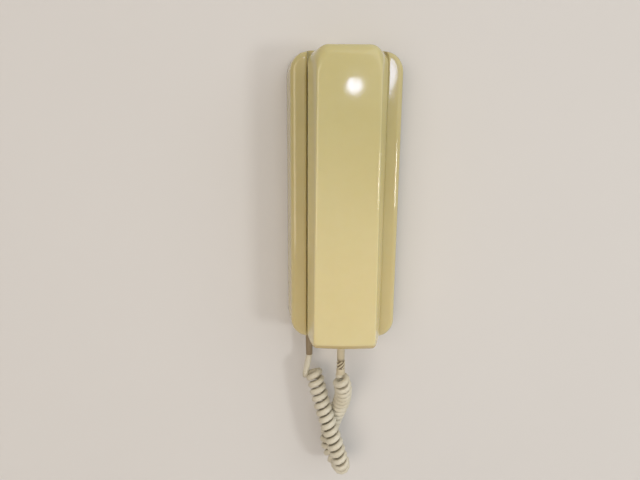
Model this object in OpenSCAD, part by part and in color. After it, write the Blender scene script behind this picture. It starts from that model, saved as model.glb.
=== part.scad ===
// Wall-hung door phone: a base with two side wings, a long facetted handset lying in the channel
// between them on an upward-slanting tongue, a hook switch, a chime speaker and a curly cord.
// X right, Y into the wall (the wall is Y = 0), Z up. Origin midway between the two wall screws.

/* [Base] */
// Width of the base at the wall
base_w = 87.5; // [85:0.5:96]
// Height of the base at the wall
base_h = 220; // [218:1:240]
// Depth from the wall to the front of the wings
base_d = 28; // [27:0.5:31]
// How far each side leans in between the wall and the front
base_lean = 3.8; // [2:0.2:5]
// Radius of the four corners at the wall
base_r = 18; // [15:1:20]
// Rounding of the wings' outer edge
base_edge = 4; // [3:0.5:5]
// Wall thickness of the mouldings
wall_t = 2.2; // [1.8:0.1:2.6]

/* [Channel] */
// Distance from the wall to the channel floor
floor_y = 18; // [17.5:0.5:20]
// Half width of the channel at its floor
chan_floor = 28.3; // [28.1:0.1:29]
// Half width of the channel at the wings' front
chan_mouth = 28.9; // [28.3:0.1:30]
// Rounding of the wings' edge along the channel
lip_r = 1.5; // [0.8:0.1:2]
// Reach of the tongue that carries the handset
tongue_l = 12; // [9:0.5:13]
// Width of the tongue
tongue_w = 16; // [12:1:18]
// Thickness of the tongue
tongue_t = 3; // [2.4:0.2:3.4]

/* [Handset] */
// Width of the handset at its widest edge
hs_w = 54.6; // [52:0.2:55]
// How far the handset hangs to one side of the channel's middle
hs_x = 0.4; // [0:0.1:0.5]
// Width of the front face at the top
face_top = 41.8; // [38:0.2:45]
// Width of the front face at the bottom
face_bottom = 44.2; // [38:0.2:47]
// Top end of the handset above the origin
hs_top = 106; // [103:1:109]
// Bottom end of the handset below the origin
hs_bottom = 104; // [101:1:107]
// Distance from the wall to the front face
hs_front = 58; // [54:1:62]
// Distance from the wall to the parting line
hs_part = 36; // [34:1:40]
// Radius of the top corners of the outline
hs_r_top = 12; // [10:1:14]
// Radius of the bottom corners of the outline
hs_r_bottom = 8; // [6:1:10]
// Radius of the raised ear disc
ear_r = 18.5; // [17:0.5:19]

/* [Wall fixing] */
// Distance between the two wall screws
mount_pitch = 83.5; // [83.5:0.5:84]
// Diameter of the wall screw holes
mount_d = 4.5; // [4:0.1:5]

/* [Cord] */
// Diameter of the cord itself
wire_d = 4.8; // [4:0.2:5]
// Outer diameter of the curly part
coil_d = 14; // [13:0.5:15]

/* [Hidden] */

slip = 0.3;        // side clearance round fitted parts
side_play = 0.8;   // room that the tongue leaves the handset on each side
screw_gap = 0.12;  // clearance round a screw's shank
cut = 1;           // overrun of a cutting body

// wall plate and rear moulding
plate_t = 1.2;
rear_t = 2;
rear_y = plate_t + rear_t;
plate_w = 62;
plate_h = 124;
window_w = 34;
window_h = 44;
fix_x = 24;
fix_z = 54;

// fixing screws of the base: posts of the rear moulding meet bosses of the cover
post_r = 4;
boss_r = 3;
post_y = 11;
post_inset = 24;
post_x = base_w / 2 - wall_t - 0.6 * base_lean - post_r - 0.2;
post_z = base_h / 2 - post_inset;
shank_r = 1.45;
head_r = 2.7;
head_t = 1.8;

// board and terminals
board_w = 54;
board_h = 34;
board_t = 1.6;
board_z = -81;
board_y = 7.2;
board_fix = 4;
board_fix_x = board_w / 2 - board_fix;
board_fix_z = board_h / 2 - board_fix;
board_top = board_y + board_t;
chip_w = 16;
chip_h = 6.4;
can_r = 2.4;
can_h = 5.4;
can_pitch = 5.6;
coil_w = 12;
coil_h = 10;
part_w = 1.6;
part_h = 6;
part_pitch = 3;
term_w = 26;
term_h = 8;
term_t = 6.6;
term_x = -3;
term_pitch = 6.6;

// chime speaker
chime_z = -8;
chime_r = 18;
chime_hub = 9;
chime_rim = 1.2;
chime_deep = 5.4;

// rest pads
pad_r = 3.8;
pad_x = 16;
pad_up = 15;
pad_sink = 0.9;
pad_z = pad_up - hs_bottom;

// ear and mouth ends
ear_z = 78;
mouth_z = -86;
back_y = floor_y + 0.3;
grip_y = 25;
grip_top = 8;
grip_bottom = -50;
block_top = 22;
block_bottom = -64;
disc_t = 3;
disc_wall = 2;
capsule_r = 15.5;
capsule_t = 6;
gasket_t = 0.8;
pore_r = 0.9;
mic_r = 4.8;
mic_t = 5.6;
grommet_r = 6.8;
hs_screw_z = [50, -70];
hs_head = 4;
tube_r = 4.6;
weight_w = 24;
weight_h = 48;
weight_t = 8;
weight_z = -14;
rib_t = 1.6;
face_corner = 3;   // radius of the face's lower corners
end_rise = 5.2;    // the lower end curves up this far towards the face
end_deep = 7.5;

// hook lever: hinge line along X
pin_y = 8.5;
pin_z = 30;
pin_r = 1;
lever_x = 14;
lever_w = 7;
lever_arm = 20;
hook_w = 0.05;     // nose stands this close to the handset at rest

// tongue: it starts in the channel floor and slants out and up
slant = [0, -0.8, 0.6];
slant_a = atan2(0.6, 0.8);
tongue_z = 29;

// cord
boot_x = -26;
boot_y = 12;
boot_low = -127.5;
foot_z = base_h / 2 - base_lean * boot_y / (base_d - base_edge);
hboot_x = -1.5;
hboot_low = -132.8;
neck_r = 2.3;
bore_r = 1.2;
lead_path = [[-26, -12, -127.6], [-26, -12, -128.8], [-26.8, -12.7, -132], [-27.4, -14.2, -135],
             [-27.2, -16, -138], [-26, -17.8, -141]];
coil_path = [[-22, -19, -140.5], [-21, -20, -144], [-18, -22, -155], [-15, -24, -166],
             [-11.5, -26, -177], [-7.7, -28, -188.5], [-4.2, -29.6, -199.2], [-1.4, -30.3, -208],
             [0.2, -29.9, -213.4], [1.1, -28.3, -218.2], [1.2, -25.2, -221.8],
             [0.1, -20.8, -223.3], [-2.5, -16.4, -222.2], [-5.7, -13, -218.8], [-8.1, -11.4, -213],
             [-9.4, -11.6, -204.7], [-8, -12.2, -195.7], [-5.7, -13, -187.5], [-2.8, -14.1, -179.3],
             [-0.2, -18.4, -169.3], [1.4, -25, -158.7], [1.6, -31, -149.2], [0.5, -34.7, -141.9],
             [-0.7, -35.9, -137], [-1.1, -36, -134.2], [-1.1, -36, -132.9]];

// ---- shared shapes ----

function dome(r, d, lean, e) = concat([[0, 0], [r, 0]],
    [for (i = [0:5]) [r - lean - e + e * cos(18 * i), d - e + e * sin(18 * i)]], [[0, d]]);

// body of the base with an inset; it stands on the wall plane and faces -Y
module pillow(inset)
{
    r = base_r - inset;
    hull() for (x = [-1, 1], z = [-1, 1])
        translate([x * (base_w / 2 - base_r), 0, z * (base_h / 2 - base_r)]) rotate([90, 0, 0])
            rotate_extrude($fn = 40)
                polygon(dome(r, base_d - inset, base_lean, base_edge - inset * 0.7));
}

// cylinder along Y between two distances from the wall
module peg(x, z, r, y0, y1, facets = 32)
{
    translate([x, -y0, z]) rotate([90, 0, 0]) cylinder(r = r, h = y1 - y0, $fn = facets);
}

// block given by its middle in X and Z, and its two distances from the wall
module block(x, z, w, h, y0, y1)
{
    translate([x - w / 2, -y1, z - h / 2]) cube([w, y1 - y0, h]);
}

module outline(w, top, bottom, rt, rb, inset)
{
    half = w / 2;
    for (s = [-1, 1])
    {
        translate([s * (half - rt), top - rt]) circle(r = rt - inset, $fn = 64);
        translate([s * (half - rb), rb - bottom]) circle(r = rb - inset, $fn = 64);
    }
    translate([-half + inset, rb - bottom]) square([w - 2 * inset, top + bottom - rt - rb]);
    translate([-half + rt, top - rt]) square([w - 2 * rt, rt - inset]);
    translate([-half + rb, inset - bottom]) square([w - 2 * rb, rb - inset]);
}

module slab(inset, y0, y1)
{
    translate([0, -y0, 0]) rotate([90, 0, 0]) linear_extrude(y1 - y0)
        outline(hs_w, hs_top, hs_bottom, hs_r_top, hs_r_bottom, inset);
}

// one side of the channel's section: floor corner, wall and rounded lip, grown outwards by g
function channel_side(g) = concat([[chan_floor + g, g - floor_y]],
    [for (i = [0:6]) [chan_mouth + g + lip_r * (1 - cos(15 * i)), -base_d + lip_r * (1 - sin(15 * i))]],
    [[chan_mouth + g + lip_r, -base_d - cut]]);

module channel(g)
{
    side = channel_side(g);
    translate([0, 0, -base_h / 2 - cut]) linear_extrude(base_h + 2 * cut)
        polygon(concat(side, [for (i = [len(side) - 1:-1:0]) [-side[i][0], side[i][1]]]));
}

module dish(g, y0, y1)
{
    r = ear_r + 0.7 + g;
    rise = 2.6;
    peg(0, ear_z, r, y0, y1, 72);
    peg(0, ear_z + rise, r, y0, y1, 72);
    block(0, ear_z + rise / 2, 2 * r, rise, y0, y1);
}

// slanting slab along the tongue's line, from a to b along it
module slant_slab(w, t, a, b)
{
    translate([0, -floor_y, tongue_z]) rotate([90 - slant_a, 0, 0])
        translate([-w / 2, -t / 2, a]) cube([w, t, b - a]);
}

module screw(x, z, y0, length)
{
    difference()
    {
        union()
        {
            peg(x, z, head_r, y0, y0 + head_t, 32);
            peg(x, z, shank_r, y0 + head_t, y0 + head_t + length, 24);
        }
        for (a = [0, 90])
            translate([x, -y0 - 0.4, z]) rotate([0, a, 0]) cube([3.4, 0.8 + cut / 2, 0.7], center = true);
    }
}

module screw_front(x, z, y0, length)
{
    translate([0, -2 * y0, 0]) mirror([0, 1, 0]) screw(x, z, y0, length);
}

// ---- tubes along a path ----

function unit(v) = v / norm(v);
function steer(p, i) = unit(p[min(i + 1, len(p) - 1)] - p[max(i - 1, 0)]);
function across(t, u) = unit(u - (u * t) * t);
function frames(p, i, u) = i >= len(p) ? [] :
    let (v = across(steer(p, i), u)) concat([[v, cross(steer(p, i), v)]], frames(p, i + 1, v));

module tube(p, r, sides)
{
    f = frames(p, 0, [0, 0, 1] * 0.01 + [1, 0.3, 0]);
    n = len(p);
    ring = [for (i = [0:n - 1], k = [0:sides - 1])
        p[i] + r * (cos(360 * k / sides) * f[i][0] + sin(360 * k / sides) * f[i][1])];
    skin = [for (i = [0:n - 2], k = [0:sides - 1]) let (m = (k + 1) % sides)
        each [[i * sides + k, i * sides + m, (i + 1) * sides + k],
              [i * sides + m, (i + 1) * sides + m, (i + 1) * sides + k]]];
    polyhedron(points = ring, faces = concat(skin, [[for (k = [sides - 1:-1:0]) k]],
        [[for (k = [0:sides - 1]) (n - 1) * sides + k]]));
}

// ---- base ----

module wall_plate() color("silver")
{
    difference()
    {
        block(0, 0, plate_w, plate_h, 0, plate_t);
        block(0, 0, window_w, window_h, -cut, plate_t + cut);
        for (z = [-1, 1])
        {
            peg(0, z * mount_pitch / 2, mount_d / 2, -cut, plate_t + cut, 32);
            for (x = [-1, 1]) peg(x * fix_x, z * fix_z, shank_r + screw_gap, -cut, plate_t + cut, 24);
        }
    }
}

module plate_screws() color("silver")
{
    for (x = [-1, 1], z = [-1, 1]) screw_front(x * fix_x, z * fix_z, rear_y + head_t, rear_y);
}

module base_rear() color("tan")
{
    w = base_w - 6;
    h = base_h - 6;
    difference()
    {
        union()
        {
            translate([0, -plate_t, 0]) rotate([90, 0, 0]) linear_extrude(rear_t)
                outline(w, h / 2, h / 2, base_r - 3, base_r - 3, 0);
            for (x = [-1, 1], z = [-1, 1])
            {
                peg(x * post_x, z * post_z, post_r, rear_y - cut, post_y, 40);
                peg(x * board_fix_x, board_z + z * board_fix_z, 2.6, rear_y - cut, board_y, 24);
            }
            for (s = [-1, 1]) block(lever_x + s * 5.6, pin_z, 2, 7, rear_y - cut, pin_y + 3);
            peg(lever_x, pin_z + 14, 1.3, rear_y - cut, rear_y + 1.4, 20);
        }
        block(0, 0, window_w, window_h, 0, rear_y + cut);
        for (z = [-1, 1]) peg(0, z * mount_pitch / 2, 7, 0, rear_y + cut, 40);
        for (x = [-1, 1], z = [-1, 1])
        {
            peg(x * post_x, z * post_z, head_r + slip, 0, 5, 32);
            peg(x * post_x, z * post_z, shank_r + screw_gap, 0, post_y + cut, 24);
            peg(x * fix_x, z * fix_z, shank_r + screw_gap, 0, rear_y + cut, 24);
            peg(x * board_fix_x, board_z + z * board_fix_z, 0.9, 0.5 * board_y, board_y + cut, 16);
        }
        translate([lever_x - 9, -pin_y, pin_z]) rotate([0, 90, 0])
            cylinder(r = pin_r, h = 18, $fn = 24);
    }
}

module base_cover() color("khaki")
{
    difference()
    {
        union()
        {
            difference()
            {
                pillow(0);
                difference()
                {
                    translate([0, cut, 0]) pillow(wall_t);
                    channel(wall_t);
                    dish(wall_t, floor_y - 4 - wall_t, floor_y);
                }
                channel(0);
            }
            difference()
            {
                for (x = [-1, 1], z = [-1, 1]) peg(x * post_x, z * post_z, boss_r, post_y, base_d - 1.5, 32);
                channel(0);
            }
            difference()
            {
                peg(0, chime_z, chime_r + 1.7, floor_y - wall_t - 4, floor_y - 1, 72);
                peg(0, chime_z, chime_r + 0.2, floor_y - wall_t - 4 - cut, floor_y - wall_t, 72);
            }
            slant_slab(tongue_w, tongue_t, -1.5, tongue_l);
        }
        dish(0, floor_y - 4, floor_y + cut);
        for (x = [-1, 1], z = [-1, 1])
            peg(x * post_x, z * post_z, shank_r + screw_gap, post_y - cut, post_y + 12, 24);
        block(lever_x, pin_z + lever_arm - 2.2, lever_w + 1.4, 12.8, floor_y - wall_t - cut, floor_y + cut);
        for (k = [-2:2])
            block(0, chime_z + 5 * k, 24 - 3 * abs(k), 2, floor_y - wall_t - cut, floor_y + cut);
        for (s = [-1, 1]) peg(pad_x * s, pad_z, pad_r + slip, floor_y - pad_sink, floor_y + cut, 40);
        translate([boot_x, -boot_y, -base_h / 2 - cut]) cylinder(r = neck_r + 0.1, h = 12, $fn = 32);
        translate([0, cut / 2 - 0.3, 0]) block(0, 0, 2 * base_w, 2 * base_h, -cut, cut / 2);
    }
}

module rest_pads() color("dimgray")
{
    for (s = [-1, 1]) peg(pad_x * s, pad_z, pad_r, floor_y - pad_sink, back_y - hook_w, 40);
}

module base_screws() color("silver")
{
    for (x = [-1, 1], z = [-1, 1]) screw(x * post_x, z * post_z, 5 - head_t, 16);
}

module base_cord_boot() color("tan")
{
    translate([boot_x, -boot_y, 0]) difference()
    {
        union()
        {
            translate([0, 0, boot_low])
                cylinder(r1 = 2.6, r2 = 3.1, h = -boot_low - foot_z - 0.7, $fn = 40);
            translate([0, 0, -foot_z - 0.9]) cylinder(r = neck_r, h = wall_t + 2.4, $fn = 40);
            translate([0, 0, wall_t + 0.8 - foot_z]) cylinder(r = 3.2, h = 2, $fn = 40);
        }
        translate([0, 0, boot_low - cut]) cylinder(r = bore_r, h = 40, $fn = 24);
    }
}

module base_board() color("seagreen")
{
    difference()
    {
        block(0, board_z, board_w, board_h, board_y, board_y + board_t);
        for (x = [-1, 1], z = [-1, 1])
            peg(x * board_fix_x, board_z + z * board_fix_z, 1.1, 0, base_d, 20);
    }
}

module board_screws() color("silver")
{
    for (x = [-1, 1], z = [-1, 1])
    {
        peg(x * board_fix_x, board_z + z * board_fix_z, 2.2, board_top, board_top + 1.4, 28);
        peg(x * board_fix_x, board_z + z * board_fix_z, 0.8, board_y - 3, board_top + 0.1, 16);
    }
}

// a chip, four cans, a coil and a row of small parts
module board_components() color("dimgray")
{
    low = board_z - board_fix_z;
    block(-chip_w / 2 + 2, low + chip_h, chip_w, chip_h, board_top, board_top + 3.2);
    for (k = [0:3])
        peg(1.4 - board_fix_x + can_pitch * k, board_z + 3.6, can_r, board_top, board_top + can_h, 28);
    block(board_fix_x - coil_w / 2 - 4, low + coil_h / 2, coil_w, coil_h, board_top, board_top + 5.6);
    for (k = [0:4])
        block(can_pitch + part_pitch * k, board_z + 3.6, part_w, part_h, board_top, board_top + part_w);
}

module terminal_block() color("whitesmoke")
{
    z = board_z + board_h / 2 - term_h / 2;
    difference()
    {
        block(term_x, z, term_w, term_h, board_top, board_top + term_t);
        for (k = [-1.5:1.5])
        {
            peg(term_x + term_pitch * k, z + 1, 1.9, board_top + 3, board_top + term_t + cut, 28);
            translate([term_x + term_pitch * k, -board_top - 1.7, z]) cylinder(r = 1.1, h = term_h, $fn = 20);
        }
    }
}

module terminal_screws() color("gold")
{
    z = board_z + board_h / 2 - term_h / 2 + 1;
    for (k = [-1.5:1.5]) difference()
    {
        peg(term_x + term_pitch * k, z, 1.7, board_top + 3, board_top + 5, 28);
        block(term_x + term_pitch * k, z, 4, 0.6, board_top + 4.4, board_top + 6);
    }
}

module chime_frame() color("silver")
{
    front = floor_y - wall_t;
    difference()
    {
        union()
        {
            peg(0, chime_z, chime_r, front - chime_rim, front, 64);
            translate([0, 1 - front, chime_z]) rotate([-90, 0, 0])
                cylinder(r1 = chime_r - 2.5, r2 = chime_hub, h = chime_deep - 1, $fn = 64);
        }
        peg(0, chime_z, chime_r - 2.8, front - 1, front + cut, 64);
        translate([0, 1.01 - front, chime_z]) rotate([-90, 0, 0])
            cylinder(r1 = chime_r - 3.6, r2 = chime_hub - 1.1, h = chime_deep, $fn = 64);
    }
}

module chime_cone() color("dimgray")
{
    translate([0, wall_t - floor_y + 0.3, chime_z]) rotate([-90, 0, 0]) difference()
    {
        cylinder(r = chime_r - 2.9, h = 0.65, $fn = 64);
        translate([0, 0, -0.1]) cylinder(r = chime_hub / 2, h = 0.5, $fn = 40);
    }
}

module chime_magnet() color("gray")
{
    front = floor_y - wall_t - chime_deep;
    peg(0, chime_z, chime_hub, front - 3.2, front, 48);
}

// ---- hook lever ----

module hook_lever() color("khaki")
{
    tip = back_y - hook_w;
    difference()
    {
        union()
        {
            translate([lever_x - lever_w / 2, -pin_y, pin_z]) rotate([0, 90, 0])
                cylinder(r = 2.8, h = lever_w, $fn = 40);
            block(lever_x, pin_z + 11, lever_w, 22, pin_y - 1.2, pin_y + 1.2);
            block(lever_x, pin_z - 4.5, lever_w, 9, pin_y - 1.2, pin_y + 1.2);
            block(lever_x, pin_z + lever_arm, lever_w, 4, pin_y, tip - 2);
            translate([lever_x - lever_w / 2, -tip + 2, pin_z + lever_arm]) rotate([0, 90, 0])
                cylinder(r = 2, h = lever_w, $fn = 32);
            for (s = [-1, 1]) block(lever_x + s * 2.9, pin_z + lever_arm - 3, 1.2, 7, pin_y, pin_y + 5);
        }
        translate([lever_x - 8, -pin_y, pin_z]) rotate([0, 90, 0])
            cylinder(r = pin_r + 0.15, h = 16, $fn = 24);
    }
}

module hook_lever_pin() color("silver")
{
    translate([lever_x - 6.6, -pin_y, pin_z]) rotate([0, 90, 0])
        cylinder(r = pin_r, h = 13.2, $fn = 24);
}

spring_path = [for (i = [0:60]) let (a = 24 * i, s = i / 60)
    [1.95 * cos(a), -rear_y - 0.3 - (pin_y - 1.2 - rear_y - 0.6) * s, 1.95 * sin(a)]];

module hook_spring() color("silver")
{
    translate([lever_x, 0, pin_z + 14]) tube(spring_path, 0.28, 6);
}

module hook_switch() color("dimgray")
{
    top = floor_y - wall_t;
    block(lever_x, pin_z - 9, 8, 7, pin_y + 2.6, top);
    block(lever_x, pin_z - 7, 2, 2, pin_y + 1.25, pin_y + 2.7);
}

// ---- handset ----

// the handset's pieces share its side shift in the channel
module hung()
{
    translate([hs_x, 0, 0]) children();
}

// lower end of the front shell in side view, from the face's crisp edge back to the flat underside
function end_line(inset) = concat([[inset - hs_front, inset + end_rise + 1 - hs_bottom]],
    [for (k = [0:6]) [inset - hs_front + end_deep * k / 6,
                      inset - hs_bottom + end_rise * pow(1 - k / 6, 2)]]);

module front_form(inset)
{
    tr = 8 - inset;
    hull()
    {
        for (s = [-1, 1])
        {
            translate([s * (face_top / 2 - 8), -hs_front + 8, hs_top - 8]) sphere(r = tr, $fn = 32);
            translate([s * (face_top / 2 - inset), -hs_front + inset, hs_top - 18]) cube([0.02, 0.6, 0.02]);
            translate([s * (face_bottom / 2 - face_corner), 0, 0])
            {
                rotate([90, 0, 90]) linear_extrude(0.02) polygon(end_line(inset));
                translate([0, 0.02 + inset - hs_front, face_corner + end_rise - hs_bottom]) rotate([90, 0, 0])
                    cylinder(r = face_corner - inset, h = 0.02, $fn = 32);
            }
        }
        slab(inset, hs_part, hs_part + 1);
    }
}

module handset_front() color("khaki") hung()
{
    inner = hs_front - wall_t;
    difference()
    {
        front_form(0);
        difference()
        {
            translate([0, 0.02, 0]) front_form(wall_t);
            for (z = hs_screw_z) peg(0, z, tube_r - 0.6, hs_part - cut, hs_front, 32);
            for (s = [-1, 1])
            {
                block(0, weight_z + s * (weight_h / 2 + slip + rib_t / 2), weight_w + 6, rib_t,
                      inner - weight_t - 2, hs_front);
                block(s * (weight_w / 2 + slip + rib_t / 2), weight_z, rib_t, weight_h + 2,
                      inner - weight_t, hs_front);
            }
        }
        for (z = hs_screw_z) peg(0, z, shank_r + screw_gap, hs_part - cut, hs_part + 12, 24);
        translate([hboot_x, -hs_part, -hs_bottom - cut]) cylinder(r = neck_r + 0.1, h = 6, $fn = 32);
        block(0, 0, 2 * hs_w, 3 * hs_top, 0, hs_part);
    }
}

function side_line(i) = [
    [-hs_part - (i > 0 ? cut : 0), i - hs_bottom], [-hs_part - (i > 0 ? cut : 0), hs_top - i],
    [-back_y - 3 - i, hs_top - i], [-back_y - i, hs_top - 3 - i],
    [-back_y - i, block_top + 0.23 * i], [-grip_y - i, grip_top + 0.23 * i],
    [-grip_y - i, grip_bottom - 0.23 * i], [-back_y - i, block_bottom - 0.23 * i],
    [-back_y - i, 3 + i - hs_bottom], [-back_y - 3 - i, i - hs_bottom]];

module side_prism(i)
{
    translate([-hs_w, 0, 0]) rotate([90, 0, 90]) linear_extrude(2 * hs_w) polygon(side_line(i));
}

module pores(rings, gap)
{
    peg(0, ear_z, pore_r, 0, hs_part, 16);
    for (n = [1:rings], k = [0:6 * n - 1])
        peg(gap * n * cos(60 * k / n), ear_z + gap * n * sin(60 * k / n), pore_r, 0, hs_part, 16);
}

module handset_rear() color("khaki") hung()
{
    wall = back_y + wall_t;
    difference()
    {
        union()
        {
            intersection()
            {
                slab(0, back_y, hs_part);
                side_prism(0);
            }
            peg(0, ear_z, ear_r, back_y - disc_t, back_y + 0.5, 72);
        }
        difference()
        {
            intersection()
            {
                slab(wall_t, back_y + 1, hs_part + cut);
                side_prism(wall_t);
            }
            peg(0, ear_z, capsule_r + 1.8, back_y, wall + 7, 64);
            peg(0, mouth_z, grommet_r + rib_t, back_y, wall + mic_t + 1.2, 48);
            for (z = hs_screw_z) peg(0, z, tube_r, back_y, hs_part, 40);
            slant_slab(tongue_w + 2 * side_play + 2 * rib_t, tongue_t + 2.6 * rib_t, 0, tongue_l + 2 * rib_t);
        }
        peg(0, ear_z, capsule_r + 0.2, back_y - disc_t + disc_wall, hs_part, 64);
        peg(0, mouth_z, grommet_r + 0.1, wall, hs_part, 40);
        pores(2, 4.2);
        for (k = [-1:1]) peg(4 * k, mouth_z, 0.8, 0, wall + cut, 16);
        for (z = hs_screw_z)
        {
            peg(0, z, head_r + slip, 0, back_y + hs_head, 32);
            peg(0, z, shank_r + screw_gap, 0, hs_part + cut, 24);
        }
        slant_slab(tongue_w + 2 * side_play, tongue_t + 2 * slip, -8, tongue_l + 1.2);
        translate([hboot_x, -hs_part, -hs_bottom - cut]) cylinder(r = neck_r + 0.1, h = 6, $fn = 32);
    }
}

module earpiece_gasket() color("dimgray") hung()
{
    y0 = back_y - disc_t + disc_wall;
    difference()
    {
        peg(0, ear_z, capsule_r, y0, y0 + gasket_t, 56);
        peg(0, ear_z, capsule_r - 3.5, y0 - cut, y0 + gasket_t + cut, 56);
    }
}

module earpiece_capsule() color("gray") hung()
{
    y0 = back_y - disc_t + disc_wall + gasket_t;
    difference()
    {
        union()
        {
            peg(0, ear_z, capsule_r, y0, y0 + capsule_t, 56);
            peg(0, ear_z, capsule_r - 5.5, y0 + capsule_t - 0.1, y0 + 1.5 * capsule_t, 48);
        }
        peg(0, ear_z, capsule_r - 4.5, y0 - cut, y0 + 1, 48);
    }
}

module microphone_grommet() color("dimgray") hung()
{
    wall = back_y + wall_t;
    difference()
    {
        peg(0, mouth_z, grommet_r, wall, wall + mic_t + gasket_t, 40);
        peg(0, mouth_z, mic_r + 0.1, wall + 0.6, wall + mic_t + 3, 40);
        peg(0, mouth_z, mic_r - 1.8, wall - cut, wall + 2, 32);
    }
}

module microphone_capsule() color("silver") hung()
{
    wall = back_y + wall_t + 0.6;
    peg(0, mouth_z, mic_r, wall, wall + mic_t, 40);
    for (s = [-1, 1]) peg(1.3 * s, mouth_z, 0.4, wall + mic_t - 0.1, wall + mic_t + 2, 12);
}

module handset_weight() color("gray") hung()
{
    inner = hs_front - wall_t;
    block(0, weight_z, weight_w, weight_h, inner - weight_t, inner - 0.05);
}

module handset_screws() color("silver") hung()
{
    for (z = hs_screw_z) screw(0, z, back_y + hs_head - head_t, 20);
}

module handset_cord_boot() color("khaki") hung()
{
    low = hboot_low;
    translate([hboot_x, -hs_part, 0]) difference()
    {
        union()
        {
            translate([0, 0, low]) cylinder(r = 3.3, h = 5, $fn = 40);
            translate([0, 0, low + 5]) cylinder(r = 2.5, h = -low - hs_bottom - 5.2, $fn = 40);
            for (k = [0:2]) translate([0, 0, low + 6.6 + 2 * k]) cylinder(r = 3, h = 1.1, $fn = 40);
            translate([0, 0, low + 12.4]) cylinder(r1 = 2.8, r2 = 3.1, h = -low - hs_bottom - 12.6, $fn = 40);
            translate([0, 0, -hs_bottom - 0.4]) cylinder(r = neck_r, h = wall_t + 2, $fn = 40);
            translate([0, 0, wall_t + 0.3 - hs_bottom]) cylinder(r = 3.6, h = 2, $fn = 40);
        }
        translate([0, 0, low - cut]) cylinder(r = bore_r, h = 50, $fn = 24);
    }
}

// ---- cord ----

module cord_base_lead() color("beige")
{
    tube(lead_path, wire_d / 2, 10);
}

module cord_coil() color("beige")
{
    tube(coil_path, coil_d / 2, 12);
}

wall_plate();
plate_screws();
base_rear();
base_cover();
rest_pads();
base_screws();
base_cord_boot();
base_board();
board_screws();
board_components();
terminal_block();
terminal_screws();
chime_frame();
chime_cone();
chime_magnet();
hook_lever();
hook_lever_pin();
hook_spring();
hook_switch();
handset_front();
handset_rear();
earpiece_capsule();
earpiece_gasket();
microphone_capsule();
microphone_grommet();
handset_weight();
handset_screws();
handset_cord_boot();
cord_base_lead();
cord_coil();
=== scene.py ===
"""Wall-hung door phone with a facetted handset, a winged base and a looped curly cord.

Each piece has its own operator; the panel in the sidebar lists them in building order.
All sizes are in metres, X to the right, Y into the wall and Z up.
"""

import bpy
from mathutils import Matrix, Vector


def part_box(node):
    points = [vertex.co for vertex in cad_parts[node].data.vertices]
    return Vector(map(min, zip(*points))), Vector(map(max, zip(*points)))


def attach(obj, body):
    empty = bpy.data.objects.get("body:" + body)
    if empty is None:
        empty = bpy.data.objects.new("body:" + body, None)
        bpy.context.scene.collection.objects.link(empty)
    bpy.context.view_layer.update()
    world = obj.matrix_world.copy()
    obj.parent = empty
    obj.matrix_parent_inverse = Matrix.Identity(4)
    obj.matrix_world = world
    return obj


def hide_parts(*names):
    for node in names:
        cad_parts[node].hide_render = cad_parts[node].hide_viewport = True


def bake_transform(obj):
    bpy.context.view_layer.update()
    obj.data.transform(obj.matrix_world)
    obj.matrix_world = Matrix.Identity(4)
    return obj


bl_info = {
    "name": "Wall Door Phone",
    "version": (1, 0, 0),
    "blender": (4, 5, 0),
    "location": "View3D > Sidebar > Door Phone",
    "description": "Builds the handset, base, cord and stage of a wall-hung door phone",
    "category": "Object",
}

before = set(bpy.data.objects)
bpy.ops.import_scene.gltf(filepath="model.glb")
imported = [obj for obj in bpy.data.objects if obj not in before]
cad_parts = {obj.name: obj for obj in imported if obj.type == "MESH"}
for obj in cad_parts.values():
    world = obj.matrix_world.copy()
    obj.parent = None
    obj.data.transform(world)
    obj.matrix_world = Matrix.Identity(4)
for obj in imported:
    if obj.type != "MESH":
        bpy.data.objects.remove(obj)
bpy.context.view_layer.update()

import math

import bmesh
import bpy
from bpy.props import FloatProperty, FloatVectorProperty, PointerProperty
from mathutils import Matrix, Vector

MM = 0.001
FRONT_LOW, FRONT_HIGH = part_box("handset_front")

# route of the plain lead and of the curly part, in millimetres, as the solids have it
LEAD_ROUTE = [(-26, -12, -127.6), (-26, -12, -128.8), (-26.8, -12.7, -132)]
COIL_ROUTE = [
    (-22, -19, -140.5), (-21, -20, -144), (-18, -22, -155), (-15, -24, -166), (-11.5, -26, -177),
    (-7.7, -28, -188.5), (-4.2, -29.6, -199.2), (-1.4, -30.3, -208), (0.2, -29.9, -213.4),
    (1.1, -28.3, -218.2), (1.2, -25.2, -221.8), (0.1, -20.8, -223.3), (-2.5, -16.4, -222.2),
    (-5.7, -13, -218.8), (-8.1, -11.4, -213), (-9.4, -11.6, -204.7), (-8, -12.2, -195.7),
    (-5.7, -13, -187.5), (-2.8, -14.1, -179.3), (-0.2, -18.4, -169.3), (1.4, -25, -158.7),
    (1.6, -31, -149.2), (0.5, -34.7, -141.9), (-0.7, -35.9, -137), (-1.1, -36, -134.2),
    (-1.1, -36, -132.9),
]


# ---------------------------------------------------------------- settings

def length_setting(name, description, default):
    """A setting in metres"""
    return FloatProperty(name=name, description=description, default=default, unit="LENGTH")


def colour_setting(name, description, default):
    """A colour setting"""
    return FloatVectorProperty(name=name, description=description, default=default, subtype="COLOR")


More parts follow.
